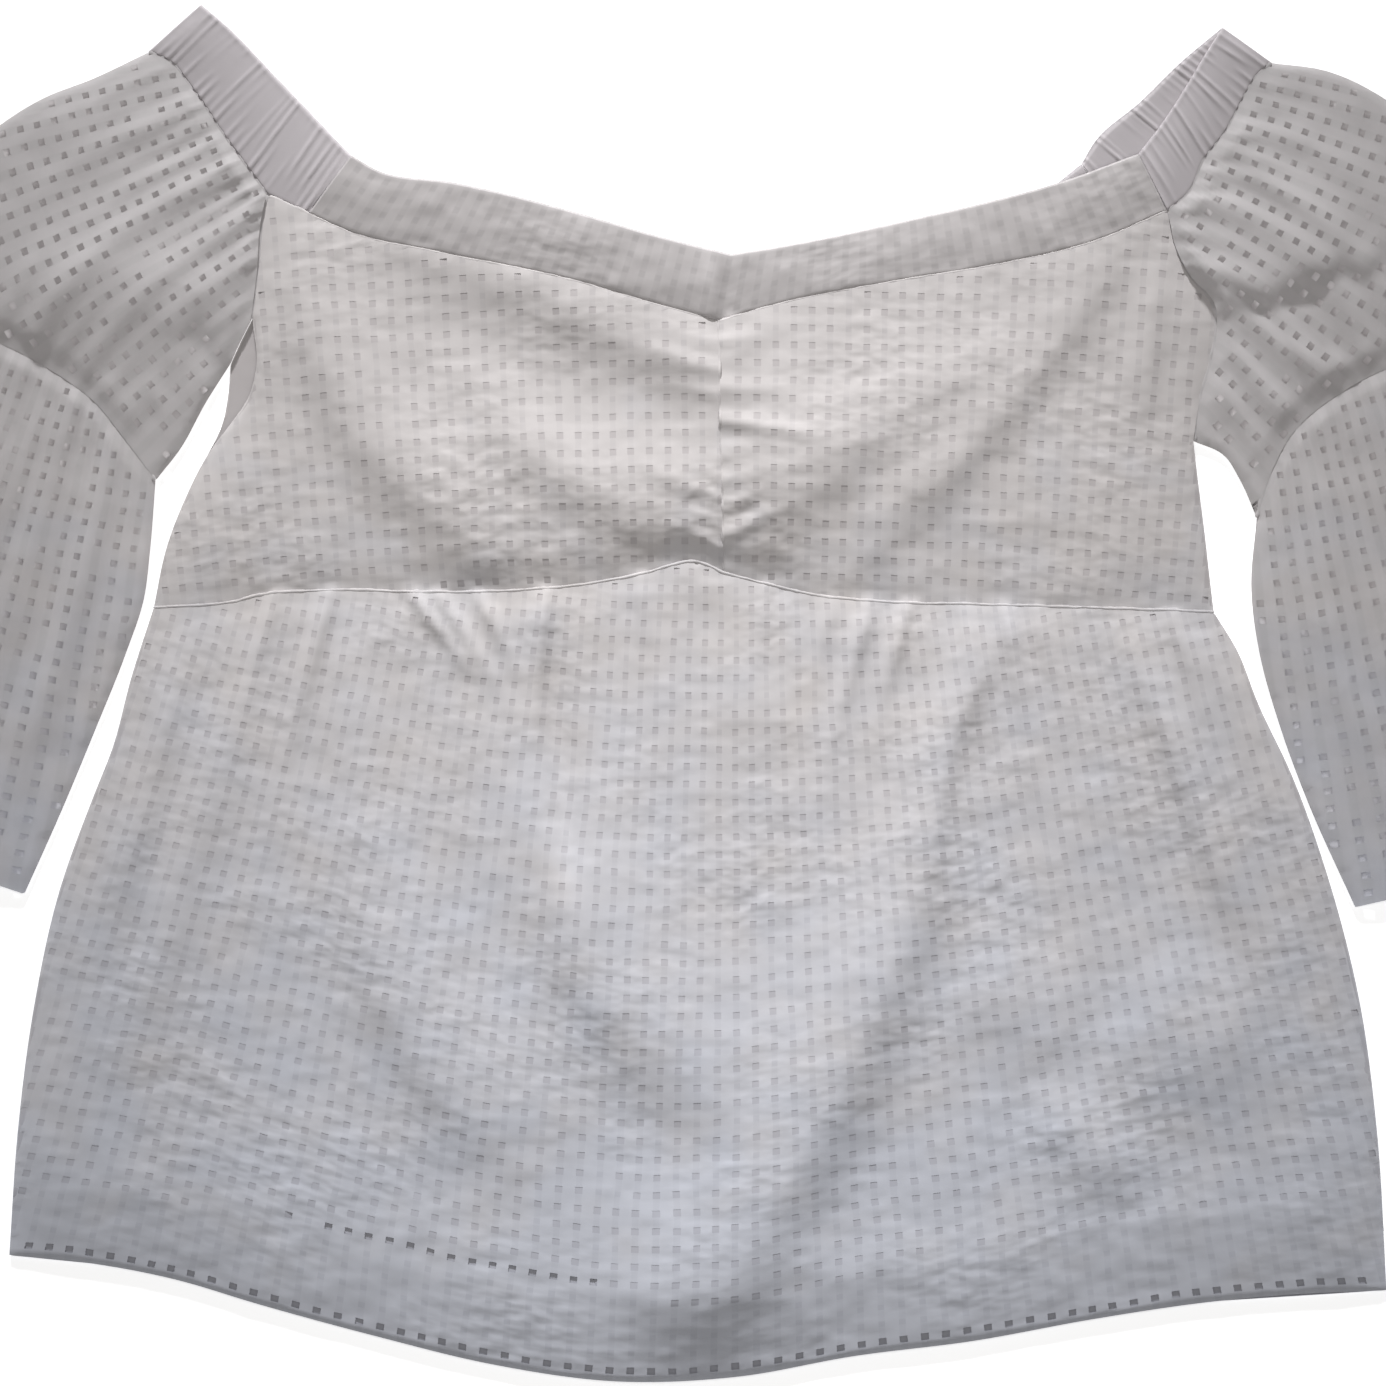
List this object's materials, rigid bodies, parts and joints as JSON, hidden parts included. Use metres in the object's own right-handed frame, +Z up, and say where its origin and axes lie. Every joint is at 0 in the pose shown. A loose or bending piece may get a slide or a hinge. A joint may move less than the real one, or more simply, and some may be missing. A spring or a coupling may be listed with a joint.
{
  "type": "peasant blouse",
  "caption": "White openwork cotton off-shoulder blouse laid flat: ruched neckline bands, puffed and flared sleeves, flared peplum below an under-bust seam.",
  "frame": {"origin": "middle of the garment's outline on the surface it lies on, z = 0 at its underside", "axes": "+Z up out of the surface through the front of the garment, +Y towards the neckline, +X towards the viewer's right"},
  "size_m": [0.9236, 0.6296, 0.0175],
  "materials": {
    "front_bodice_left_cloth": "matt white openwork cotton",
    "front_bodice_right_cloth": "matt white openwork cotton",
    "front_peplum_cloth": "matt white openwork cotton",
    "back_bodice_cloth": "matt white openwork cotton",
    "back_peplum_cloth": "matt white openwork cotton",
    "front_band_cloth": "matt white cotton, plain folded band",
    "shoulder_band_left_cloth": "matt white cotton, elasticated and ruched",
    "shoulder_band_right_cloth": "matt white cotton, elasticated and ruched",
    "back_band_cloth": "matt white cotton, elasticated and ruched",
    "sleeve_upper_left_cloth": "matt white openwork cotton, unlined",
    "sleeve_upper_right_cloth": "matt white openwork cotton, unlined",
    "sleeve_lower_left_cloth": "matt white openwork cotton, unlined",
    "sleeve_lower_right_cloth": "matt white openwork cotton, unlined"
  },
  "bodies": {
    "root": {"front_bodice_left": "front_bodice_left_cloth", "front_bodice_right": "front_bodice_right_cloth", "front_peplum": "front_peplum_cloth", "back_bodice": "back_bodice_cloth", "back_peplum": "back_peplum_cloth", "front_band": "front_band_cloth", "shoulder_band_left": "shoulder_band_left_cloth", "shoulder_band_right": "shoulder_band_right_cloth", "back_band": "back_band_cloth", "sleeve_upper_left": "sleeve_upper_left_cloth", "sleeve_upper_right": "sleeve_upper_right_cloth", "sleeve_lower_left": "sleeve_lower_left_cloth", "sleeve_lower_right": "sleeve_lower_right_cloth"}
  },
  "joints": []
}
